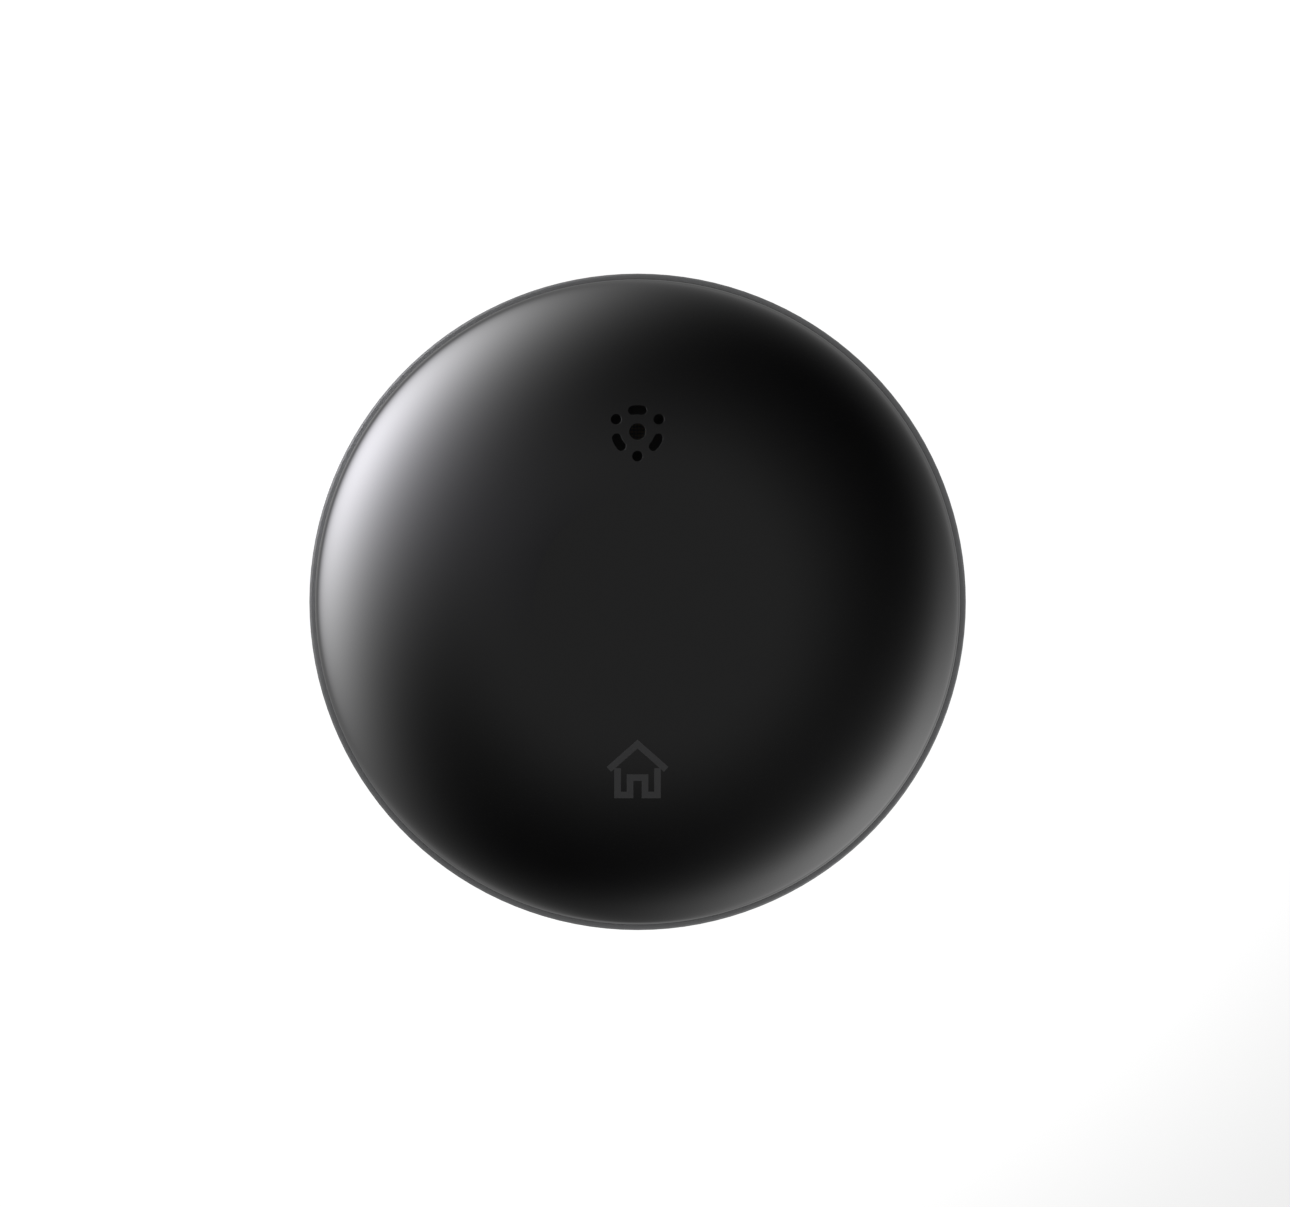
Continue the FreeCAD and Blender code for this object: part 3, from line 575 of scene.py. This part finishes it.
def dome_height(x, y, inset=0.0):
    """The height of the dome's outside, or of a surface inset from it, over a place on the plan."""
    share = (x * x + y * y) / (dome_radius - inset) ** 2
    return parting + (dome_rise - inset) * math.sqrt(max(0.0, 1 - share))


def dome_normal(point):
    """Straight out of the dome's outside."""
    x, y, z = point
    return Vector((x / dome_radius ** 2, y / dome_radius ** 2, (z - parting) / dome_rise ** 2)).normalized()


def circle(radius, count=SEGMENTS, across=0.0, along=0.0):
    """Points evenly round a circle on the plan."""
    turns = [2 * math.pi * i / count for i in range(count)]
    return [(across + radius * math.cos(turn), along + radius * math.sin(turn)) for turn in turns]


def round_hole(radius, across, along):
    """A hole's outline, as a function of how far it is let out."""
    count = max(24, round(radius / MM * 44))
    return lambda out: circle(radius + out, count, across, along)


def bent_slot(facing):
    """The outline of a round-ended slot, bent round the middle hole."""
    half = (slot_length - slot_width) / 2 / slot_ring
    side_steps, end_steps = 14, 12

    def outline(out):
        reach = slot_width / 2 + out
        points = []
        for sign in (1, -1):
            for i in range(side_steps):
                angle = facing + sign * half * (2 * i / side_steps - 1)
                radius = slot_ring + sign * reach
                points.append((radius * math.cos(angle), radius * math.sin(angle)))
            end = facing + sign * half
            for i in range(end_steps):
                bend = end + math.pi / end_steps * i + (0 if sign > 0 else math.pi)
                points.append((slot_ring * math.cos(end) + reach * math.cos(bend),
                               slot_ring * math.sin(end) + reach * math.sin(bend)))
        return [(x, sound_y + y) for x, y in points]
    return outline


hole_outlines = [round_hole(middle_hole, 0, sound_y)]
for i in range(3):
    at_small, at_slot = math.radians(30 + 120 * i), math.radians(90 + 120 * i)
    hole_outlines.append(round_hole(small_hole, small_ring * math.cos(at_small),
                                    sound_y + small_ring * math.sin(at_small)))
    hole_outlines.append(bent_slot(at_slot))


def inside(x, y, outline):
    """Whether a place on the plan is inside a closed outline."""
    found = False
    for (ax, ay), (bx, by) in zip(outline, outline[1:] + outline[:1]):
        if (ay > y) != (by > y) and x < (bx - ax) * (y - ay) / (by - ay) + ax:
            found = not found
    return found


def holed_skin(mesh, inset, cutouts, let_out, upward):
    """The middle of one of the dome's two skins. Returns the edges of its holes, and its rim."""
    radius = (dome_radius - inset) * PATCH_SHARE
    clear_band = 0.3 * MM
    outlines = [outline(let_out) for outline in cutouts]
    guards = [outline(let_out + clear_band) for outline in cutouts]
    plan, edges = [], []
    rim = circle(radius)
    for loop in [rim, *outlines]:
        first = len(plan)
        plan += loop
        edges += [(first + i, first + (i + 1) % len(loop)) for i in range(len(loop))]
    rings = 30
    for ring in range(1, rings):
        for x, y in circle(radius * ring / rings, max(12, 6 * ring)):
            if not any(inside(x, y, guard) for guard in guards):
                plan.append((x, y))
    plan.append((0.0, 0.0))
    plan = [Vector(place) for place in plan]
    points, _, faces, origins, _, _ = geometry.delaunay_2d_cdt(plan, edges, [], 0, 1e-9)
    verts = [mesh.verts.new((x, y, dome_height(x, y, inset))) for x, y in points]
    for face in faces:
        x = sum(points[i][0] for i in face) / 3
        y = sum(points[i][1] for i in face) / 3
        if not any(inside(x, y, outline) for outline in outlines):
            mesh.faces.new([verts[i] for i in (face if upward else reversed(face))])
    where = {}
    for new, olds in enumerate(origins):
        for old in olds:
            where[old] = verts[new]
    loops, first = [], 0
    for loop in [rim, *outlines]:
        loops.append([where[first + i] for i in range(len(loop))])
        first += len(loop)
    return loops[1:], loops[0]


def bridge(mesh, upper, lower):
    """Quads between two loops of as many points. They face away from the loops' left side."""
    for i in range(len(upper)):
        j = (i + 1) % len(upper)
        mesh.faces.new((upper[i], lower[i], lower[j], upper[j]))


def lathe(mesh, start, profile):
    """Carries a loop of points on through each (radius, height) of a profile."""
    for radius, height in profile:
        loop = [mesh.verts.new((x, y, height)) for x, y in circle(radius)]
        bridge(mesh, start, loop)
        start = loop
    return start


def shell_curve(inset, start, end, steps):
    """Points down the dome's curve, between two angles from its crown's ellipse."""
    radius, rise = dome_radius - inset, dome_rise - inset
    angles = [start + (end - start) * (i + 1) / steps for i in range(steps)]
    return [(radius * math.sin(a), parting + rise * math.cos(a)) for a in angles]


cover_mesh = bmesh.new()
guide_pocket = round_hole(pocket_radius, 0, guide_y)
outer_holes, outer_rim = holed_skin(cover_mesh, 0.0, hole_outlines, hole_round, True)
inner_holes, inner_rim = holed_skin(cover_mesh, dome_wall, [*hole_outlines, guide_pocket], 0.0, False)
pocket_top = [cover_mesh.verts.new((x, y, guide_top)) for x, y in guide_pocket(0)]
bridge(cover_mesh, inner_holes[-1], pocket_top)
cover_mesh.faces.new(reversed(pocket_top))
corner_turns = [math.pi / 2 * (i + 1) / CORNER_STEPS for i in range(CORNER_STEPS)]
patch_angle = math.asin(PATCH_SHARE)
edge_angle = math.acos(edge_round / dome_rise)
skirt = lathe(cover_mesh, outer_rim, shell_curve(0.0, patch_angle, edge_angle, steps=40))
edge = lathe(cover_mesh, skirt, [(dome_radius - edge_round * (1 - math.cos(turn)),
                                  parting + edge_round * (1 - math.sin(turn))) for turn in corner_turns])
ledge_angle = math.acos(ledge_height / (dome_rise - dome_wall))
up_inside = reversed(shell_curve(dome_wall, patch_angle, ledge_angle, steps=16))
last = lathe(cover_mesh, edge, [
    (tongue_outer, parting), (tongue_outer, tongue_end), (tongue_inner, tongue_end),
    (tongue_inner, parting + ledge_height), *up_inside])
bridge(cover_mesh, last, inner_rim)
over_bay = [v for v in cover_mesh.verts if v.co.z <= parting and v.co.y > 0 and abs(v.co.x) < bay_gap]
for vertex in over_bay:
    vertex.co.z = parting
bmesh.ops.remove_doubles(cover_mesh, verts=over_bay, dist=0.001 * MM)
for outline, outer, inner in zip(hole_outlines, outer_holes, inner_holes):
    loop = outer
    for turn in corner_turns:
        plan = outline(hole_round * (1 - math.sin(turn)))
        depth = hole_round * (1 - math.cos(turn))
        ring = [cover_mesh.verts.new((x, y, dome_height(x, y) - depth)) for x, y in plan]
        bridge(cover_mesh, ring, loop)
        loop = ring
    bridge(cover_mesh, inner, loop)


def post(mesh, across, along, outer, bore, foot, bore_end=None):
    """A post down from inside the dome's wall. Its hole stops at bore_end, or goes right through."""
    def loop(radius, height):
        places = circle(radius, 32, across, along)
        return [mesh.verts.new((x, y, height or dome_height(x, y, dome_wall / 2))) for x, y in places]

    loops = [loop(outer, None), loop(outer, foot), loop(bore, foot), loop(bore, bore_end)]
    for upper, lower in zip(loops, loops[1:]):
        bridge(mesh, upper, lower)
    if bore_end:
        mesh.faces.new(loops[0])
        mesh.faces.new(reversed(loops[-1]))
    else:
        bridge(mesh, loops[-1], loops[0])


screw_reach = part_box("case_screws")[1][0]
boss_ring = (screw_reach - screw_head_radius) * math.sqrt(2)
boss_foot = middle("case_screws").z - boss_end_drop
for i in range(4):
    turn = math.pi / 4 + math.pi / 2 * i
    post(cover_mesh, boss_ring * math.cos(turn), boss_ring * math.sin(turn), boss_radius, pilot_radius,
         boss_foot, boss_foot + pilot_depth)
post(cover_mesh, 0, sound_y, chamber_outer, chamber_bore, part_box("chamber_gasket")[1][2])
post(cover_mesh, 0, guide_y, sleeve_outer, sleeve_bore, dome_height(0, guide_y, dome_wall) - sleeve_length)
cover_data = bpy.data.meshes.new("cover")
cover_mesh.to_mesh(cover_data)
cover_mesh.free()
cover = linked("cover", cover_data)

deep_black = Finish("deep_black", (0.0009, 0.0009, 0.001), 0.04, coat_weight=1.0, coat_roughness=0.015,
                    coat_ior=1.5, ior=1.5)
faint = deep_black.noise(3 * MM, detail=3.0)
deep_black.set(base_color=deep_black.mix(faint, (0.0007, 0.0007, 0.0008), (0.0011, 0.0011, 0.0012)),
               roughness=0.03 + 0.03 * faint)
cover_data.materials.append(deep_black.material)
cover_data.shade_smooth()
cover_data.set_sharp_from_angle(angle=math.radians(40))
on_skin = []
for vertex in cover_data.vertices:
    out, up = vertex.co.xy.length / dome_radius, (vertex.co.z - parting) / dome_rise
    on_skin.append(abs(out ** 2 + up ** 2 - 1) < 1e-4)
normals = [corner.vector.copy() for corner in cover_data.corner_normals]
for face in cover_data.polygons:
    for corner in face.loop_indices:
        vertex = cover_data.loops[corner].vertex_index
        outward = dome_normal(cover_data.vertices[vertex].co)
        if on_skin[vertex] and face.normal.dot(outward) > 0.9:
            normals[corner] = outward
cover_data.normals_split_custom_set(normals)
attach(cover, "hub")
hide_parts("dome_cover")


# ---- House mark ----------------------------------------------------------------------
# A plain outline of a house, pad printed on the cover in satin grey ink a few hundredths of
# a millimetre thick, over the thin spot where the status light shines through.

ink_line = 0.8 * MM
ink_proud = 0.02 * MM
ink_sunk = 0.03 * MM
roof = [(-3.45, 0.1), (0, 3.15), (3.45, 0.1)]
walls = [(-2.4, 0.25), (-2.4, -3.0), (-0.9, -3.0), (-0.9, -0.9),
         (0.9, -0.9), (0.9, -3.0), (2.4, -3.0), (2.4, 0.25)]
ink_grey = Finish("ink_grey", (0.022, 0.022, 0.023), 0.5)
screen = ink_grey.noise(0.12 * MM, detail=3.0)
ink_grey.set(base_color=ink_grey.mix(screen, (0.018, 0.018, 0.019), (0.028, 0.028, 0.029)),
             roughness=0.45 + 0.15 * screen)


def stroke(corners, width, longest):
    """The closed outline of a line of even width, with mitred corners."""
    corners = [Vector(corner) for corner in corners]
    sides = [[], []]
    for i, corner in enumerate(corners):
        before = (corner - corners[i - 1]).normalized() if i else None
        after = (corners[i + 1] - corner).normalized() if i + 1 < len(corners) else None
        before, after = before or after, after or before
        across = (before + after).orthogonal().normalized()
        reach = width / 2 / across.dot(before.orthogonal())
        for side, sign in zip(sides, (1, -1)):
            side.append(corner + across * reach * sign)
    outline = sides[1] + sides[0][::-1]
    points = []
    for here, there in zip(outline, outline[1:] + outline[:1]):
        parts = math.ceil((there - here).length / longest)
        points += [here.lerp(there, part / parts) for part in range(parts)]
    return points


mark_mesh = bmesh.new()
for line in (roof, walls):
    corners = [(x * MM, guide_y + y * MM) for x, y in line]
    outline = stroke(corners, ink_line, longest=0.4 * MM)
    edges = [(i, (i + 1) % len(outline)) for i in range(len(outline))]
    points, _, faces, _, _, _ = geometry.delaunay_2d_cdt(outline, edges, [], 1, 1e-9)
    levels = [[mark_mesh.verts.new((x, y, dome_height(x, y) + level)) for x, y in points]
              for level in (ink_proud, -ink_sunk)]
    for face in faces:
        mark_mesh.faces.new([levels[0][i] for i in face])
        mark_mesh.faces.new([levels[1][i] for i in reversed(face)])
    for i, j in edges:
        mark_mesh.faces.new((levels[0][j], levels[0][i], levels[1][i], levels[1][j]))
mark_data = bpy.data.meshes.new("house_mark")
mark_mesh.to_mesh(mark_data)
mark_mesh.free()
mark_data.materials.append(ink_grey.material)
house_mark = linked("house_mark", mark_data)
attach(house_mark, "hub")


# ---- Foot ring and rating label ------------------------------------------------------
# A ring of black rubber, moulded with three fine grooves so that it grips, is glued into the
# base's groove over the screws. The rating label is a blank silver film in its own recess.

rubber = Finish("foot_rubber", (0.022, 0.022, 0.023), 0.7)
bloom = rubber.noise(3 * MM, detail=4.0)
rubber.set(base_color=rubber.mix(bloom, (0.018, 0.018, 0.019), (0.032, 0.032, 0.034)),
           roughness=0.62 + 0.15 * bloom + 0.1 * rubber.noise(0.1 * MM))
rubber.bump(rubber.noise(0.12 * MM, detail=3.0), 0.02 * MM)

ring_low, ring_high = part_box("foot_ring")
ring_width = 5.0 * MM
ring_height = ring_high[2] - ring_low[2]
foot = Growth("foot_ring", middle_radius=ring_high[0] - ring_width / 2, width=ring_width, height=ring_height,
              corner=0.5 * MM, groove_pitch=1.1 * MM, groove_depth=0.16 * MM, floor_level=ring_low[2])
section = foot.add("GeometryNodeCurvePrimitiveQuadrilateral", sockets={"Width": foot.size("width"),
                                                                      "Height": foot.size("height")})
section_x, section_y, _ = foot.position()
section = foot.add("GeometryNodeFilletCurve", {"mode": "POLY"}, {
    "Curve": section, "Count": 5, "Radius": foot.size("corner") * section_y.below(0), "Limit Radius": True})
section = foot.add("GeometryNodeResampleCurve", sockets={"Curve": section, "Count": 120})
on_floor = section_y.below(-foot.size("height") / 2 + 0.01 * MM)
grooved = abs(section_x).below(foot.size("groove_pitch") * 1.5)
grooves = (section_x / foot.size("groove_pitch") * 2 * math.pi).cosine() * 0.5 + 0.5
section = foot.add("GeometryNodeSetPosition", sockets={
    "Geometry": section, "Offset": foot.vector(y=foot.size("groove_depth") * grooves * on_floor * grooved)})
round_line = foot.add("GeometryNodeCurvePrimitiveCircle", sockets={"Resolution": 144,
                                                                   "Radius": foot.size("middle_radius")})
ring_body = foot.add("GeometryNodeCurveToMesh", sockets={"Curve": round_line, "Profile Curve": section})
ring_body = foot.add("GeometryNodeTransform", sockets={
    "Geometry": ring_body, "Translation": foot.vector(z=foot.size("floor_level") + foot.size("height") / 2)})
foot_piece = foot.piece("foot_grip", ring_body, rubber)
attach(foot_piece, "hub")
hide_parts("foot_ring")

silver_film = Finish("silver_film", (0.5, 0.5, 0.51), 0.35)
label_x, label_y, _ = silver_film.axes()
label_out = (label_x * label_x + label_y * label_y) ** 0.5
border_radius = 16.6 * MM
border = 1 - abs(label_out - border_radius).step(0.12 * MM, 0.16 * MM)
fibre = silver_film.noise(0.4 * MM, detail=3.0, stretch=(1.0, 0.05, 1.0))
film = silver_film.mix(fibre, (0.44, 0.44, 0.45), (0.56, 0.56, 0.57))
silver_film.set(base_color=silver_film.mix(border, film, (0.05, 0.05, 0.05)),
                metallic=0.6 - 0.6 * border, roughness=0.32 + 0.15 * fibre)
dress(silver_film, "id_label")


# ---- Room ----------------------------------------------------------------------------
# The hub stands on a white table, inside a ring of silk that only its gloss shows. The silk
# is lit from behind: brightly at the upper left, weakly at the lower right. A grey cloth
# hangs overhead, and soft even light comes from all round. The table's own glow carries a
# painted pool of light that fades towards its edge, and in the gloss the table shows painted
# light towards the silk's two lit sides.

SILK_FROM, SILK_SPREAD = 152, 24
FILL_FROM, FILL_SPREAD = 321, 24
FRONT, FRONT_SPREAD = 270, 13
WHITE, SILK_COOL = (1.0, 1.0, 1.0), (0.957, 0.948, 1.0)
OVERHEAD = 0.18
BACKDROP = 0.84
silk_radius = 52 * MM
silk_height = 200 * MM
# Middle and edges of the pool of light painted into the table's glow
painted_pool_middle = (-40 * MM, 60 * MM, 0.0)
painted_pool_edge = (125 * MM, 190 * MM)
table_radius = 1.5
table_gap = 0.02 * MM


def lobe(x, y, facing, spread):
    """1 towards a compass direction, falling off smoothly over a spread of that many degrees."""
    turn = math.radians(facing)
    towards = (x * math.cos(turn) + y * math.sin(turn)) / (x * x + y * y + 1e-9) ** 0.5
    return math.e ** ((towards - 1) / math.radians(spread) ** 2)


def either(nodes, *rays):
    """1 for a ray that is any of these kinds."""
    path = nodes.add("ShaderNodeLightPath").socket.node
    total = Sum(nodes, path.outputs[rays[0]])
    for ray in rays[1:]:
        total = total.at_least(Sum(nodes, path.outputs[ray]))
    return total


def stand(name, mesh, finish):
    """Makes a piece of the room, which is no part of the hub."""
    data = bpy.data.meshes.new(name)
    mesh.to_mesh(data)
    mesh.free()
    data.materials.append(finish.material)
    piece = linked(name, data)
    return piece


world = bpy.data.worlds.new("room")
world.use_nodes = True
bpy.context.scene.world = world
sky = Nodes(world.node_tree)
background = world.node_tree.nodes["Background"]
sky_x, sky_y, _ = sky.split(sky.add("ShaderNodeTexCoord", output="Generated"))
soft = (0.8 + 0.1 * lobe(sky_x, sky_y, SILK_FROM, SILK_SPREAD)
        + 0.3 * lobe(sky_x, sky_y, FILL_FROM, FILL_SPREAD))
glossy = either(sky, "Is Glossy Ray")
seen = either(sky, "Is Camera Ray", "Is Transmission Ray")
unseen = soft * (1 - glossy) + OVERHEAD * glossy
background.inputs["Color"].default_value = (*WHITE, 1.0)
sky.feed(background.inputs["Strength"], unseen * (1 - seen) + BACKDROP * seen)

silk = Finish("lit_silk", (0.0, 0.0, 0.0), 1.0)
silk_x, silk_y, silk_z = [axis / MM for axis in silk.axes()]
shade_height, bounce_height, cloth_height = 9.7, 13, 80
bright_peak, bright_fade = 14, 16.2
weak_peak, weak_fade = 11, 12
near_table = 1 - math.e ** -((silk_z / shade_height) ** 2.4)
bright = 9.6 * near_table / (1 + ((silk_z - bright_peak).at_least(0) / bright_fade) ** 2.3)
bright = bright * (1 - (silk_z / (silk_height / MM)) ** 4)
weak = (0.56 + 1.1 * near_table) / (1 + ((silk_z - weak_peak).at_least(0) / weak_fade) ** 3.1)
table_bounce = 0.42 * math.e ** -((silk_z / bounce_height) ** 2)
table_bounce = table_bounce * (1 - 0.7 * lobe(silk_x, silk_y, FRONT, FRONT_SPREAD))
cloth_bounce = OVERHEAD * (1 - math.e ** -((silk_z / cloth_height) ** 2.6))
silk_side = lobe(silk_x, silk_y, SILK_FROM, SILK_SPREAD)
silk_light = (bright * silk_side + weak * lobe(silk_x, silk_y, FILL_FROM, FILL_SPREAD)
              + table_bounce + cloth_bounce)
glow = silk.add("ShaderNodeEmission", sockets={
    "Strength": silk_light, "Color": silk.mix(silk_side, WHITE, SILK_COOL)})
silk.feed(silk.tree.nodes["Material Output"].inputs["Surface"], glow)
silk.material.cycles.emission_sampling = "NONE"
tube = bmesh.new()
bmesh.ops.create_cone(tube, segments=128, radius1=silk_radius, radius2=silk_radius, depth=silk_height,
                      matrix=Matrix.Translation((0, 0, silk_height / 2)))
silk_ring = stand("silk_ring", tube, silk)
silk_ring.visible_camera = False
silk_ring.visible_diffuse = False
silk_ring.visible_transmission = False
silk_ring.visible_volume_scatter = False
silk_ring.visible_shadow = False

white = Finish("white_table", (0.8, 0.8, 0.8), 0.9)
table_x, table_y, _ = white.axes()
# Painted pool of light: the table's glow is full round the hub and falls by 0.27 towards the pool's edge
painted_pool_x, painted_pool_y, _ = white.axes(centre=painted_pool_middle)
painted_pool_fade = ((painted_pool_x * painted_pool_x + painted_pool_y * painted_pool_y) ** 0.5).step(*painted_pool_edge)
own = white.add("ShaderNodeEmission", sockets={"Strength": 0.9 - 0.27 * painted_pool_fade})
shaded = white.add("ShaderNodeBsdfDiffuse", sockets={"Color": (0.25, 0.25, 0.25, 1.0)})
shown = white.add("ShaderNodeAddShader", sockets={0: own, 1: shaded})
plain = white.add("ShaderNodeBsdfDiffuse", sockets={"Color": (0.8, 0.8, 0.8, 1.0)})
# Painted light on the table as the gloss sees it: a base glow, brighter towards the silk's two lit sides
painted_table_light = white.add("ShaderNodeEmission", sockets={
    "Strength": 0.3 + 0.22 * lobe(table_x, table_y, SILK_FROM, SILK_SPREAD)
    + 0.2 * lobe(table_x, table_y, FILL_FROM, FILL_SPREAD)})
matt = white.add("ShaderNodeMixShader", sockets={
    0: either(white, "Is Camera Ray", "Is Transmission Ray"), 1: plain, 2: shown})
surface = white.add("ShaderNodeMixShader", sockets={0: either(white, "Is Glossy Ray"), 1: matt, 2: painted_table_light})
white.feed(white.tree.nodes["Material Output"].inputs["Surface"], surface)
white.material.cycles.emission_sampling = "NONE"
disc = bmesh.new()
bmesh.ops.create_circle(disc, cap_ends=True, segments=128, radius=table_radius,
                        matrix=Matrix.Translation((0, 0, -table_gap)))
stand("table", disc, white)

camera_data = bpy.data.cameras.new("camera")
camera_data.lens = 200
camera_data.sensor_width = 36
camera_data.clip_end = 10
camera = bpy.data.objects.new("camera", camera_data)
frame_width = 157.15 * MM
aim_x, aim_y = 0.9 * MM, -0.2 * MM
distance = frame_width * camera_data.lens / camera_data.sensor_width
camera.location = (aim_x, aim_y, parting + distance)
bpy.context.scene.collection.objects.link(camera)
bpy.context.scene.camera = camera
bpy.context.scene.view_settings.view_transform = "Standard"
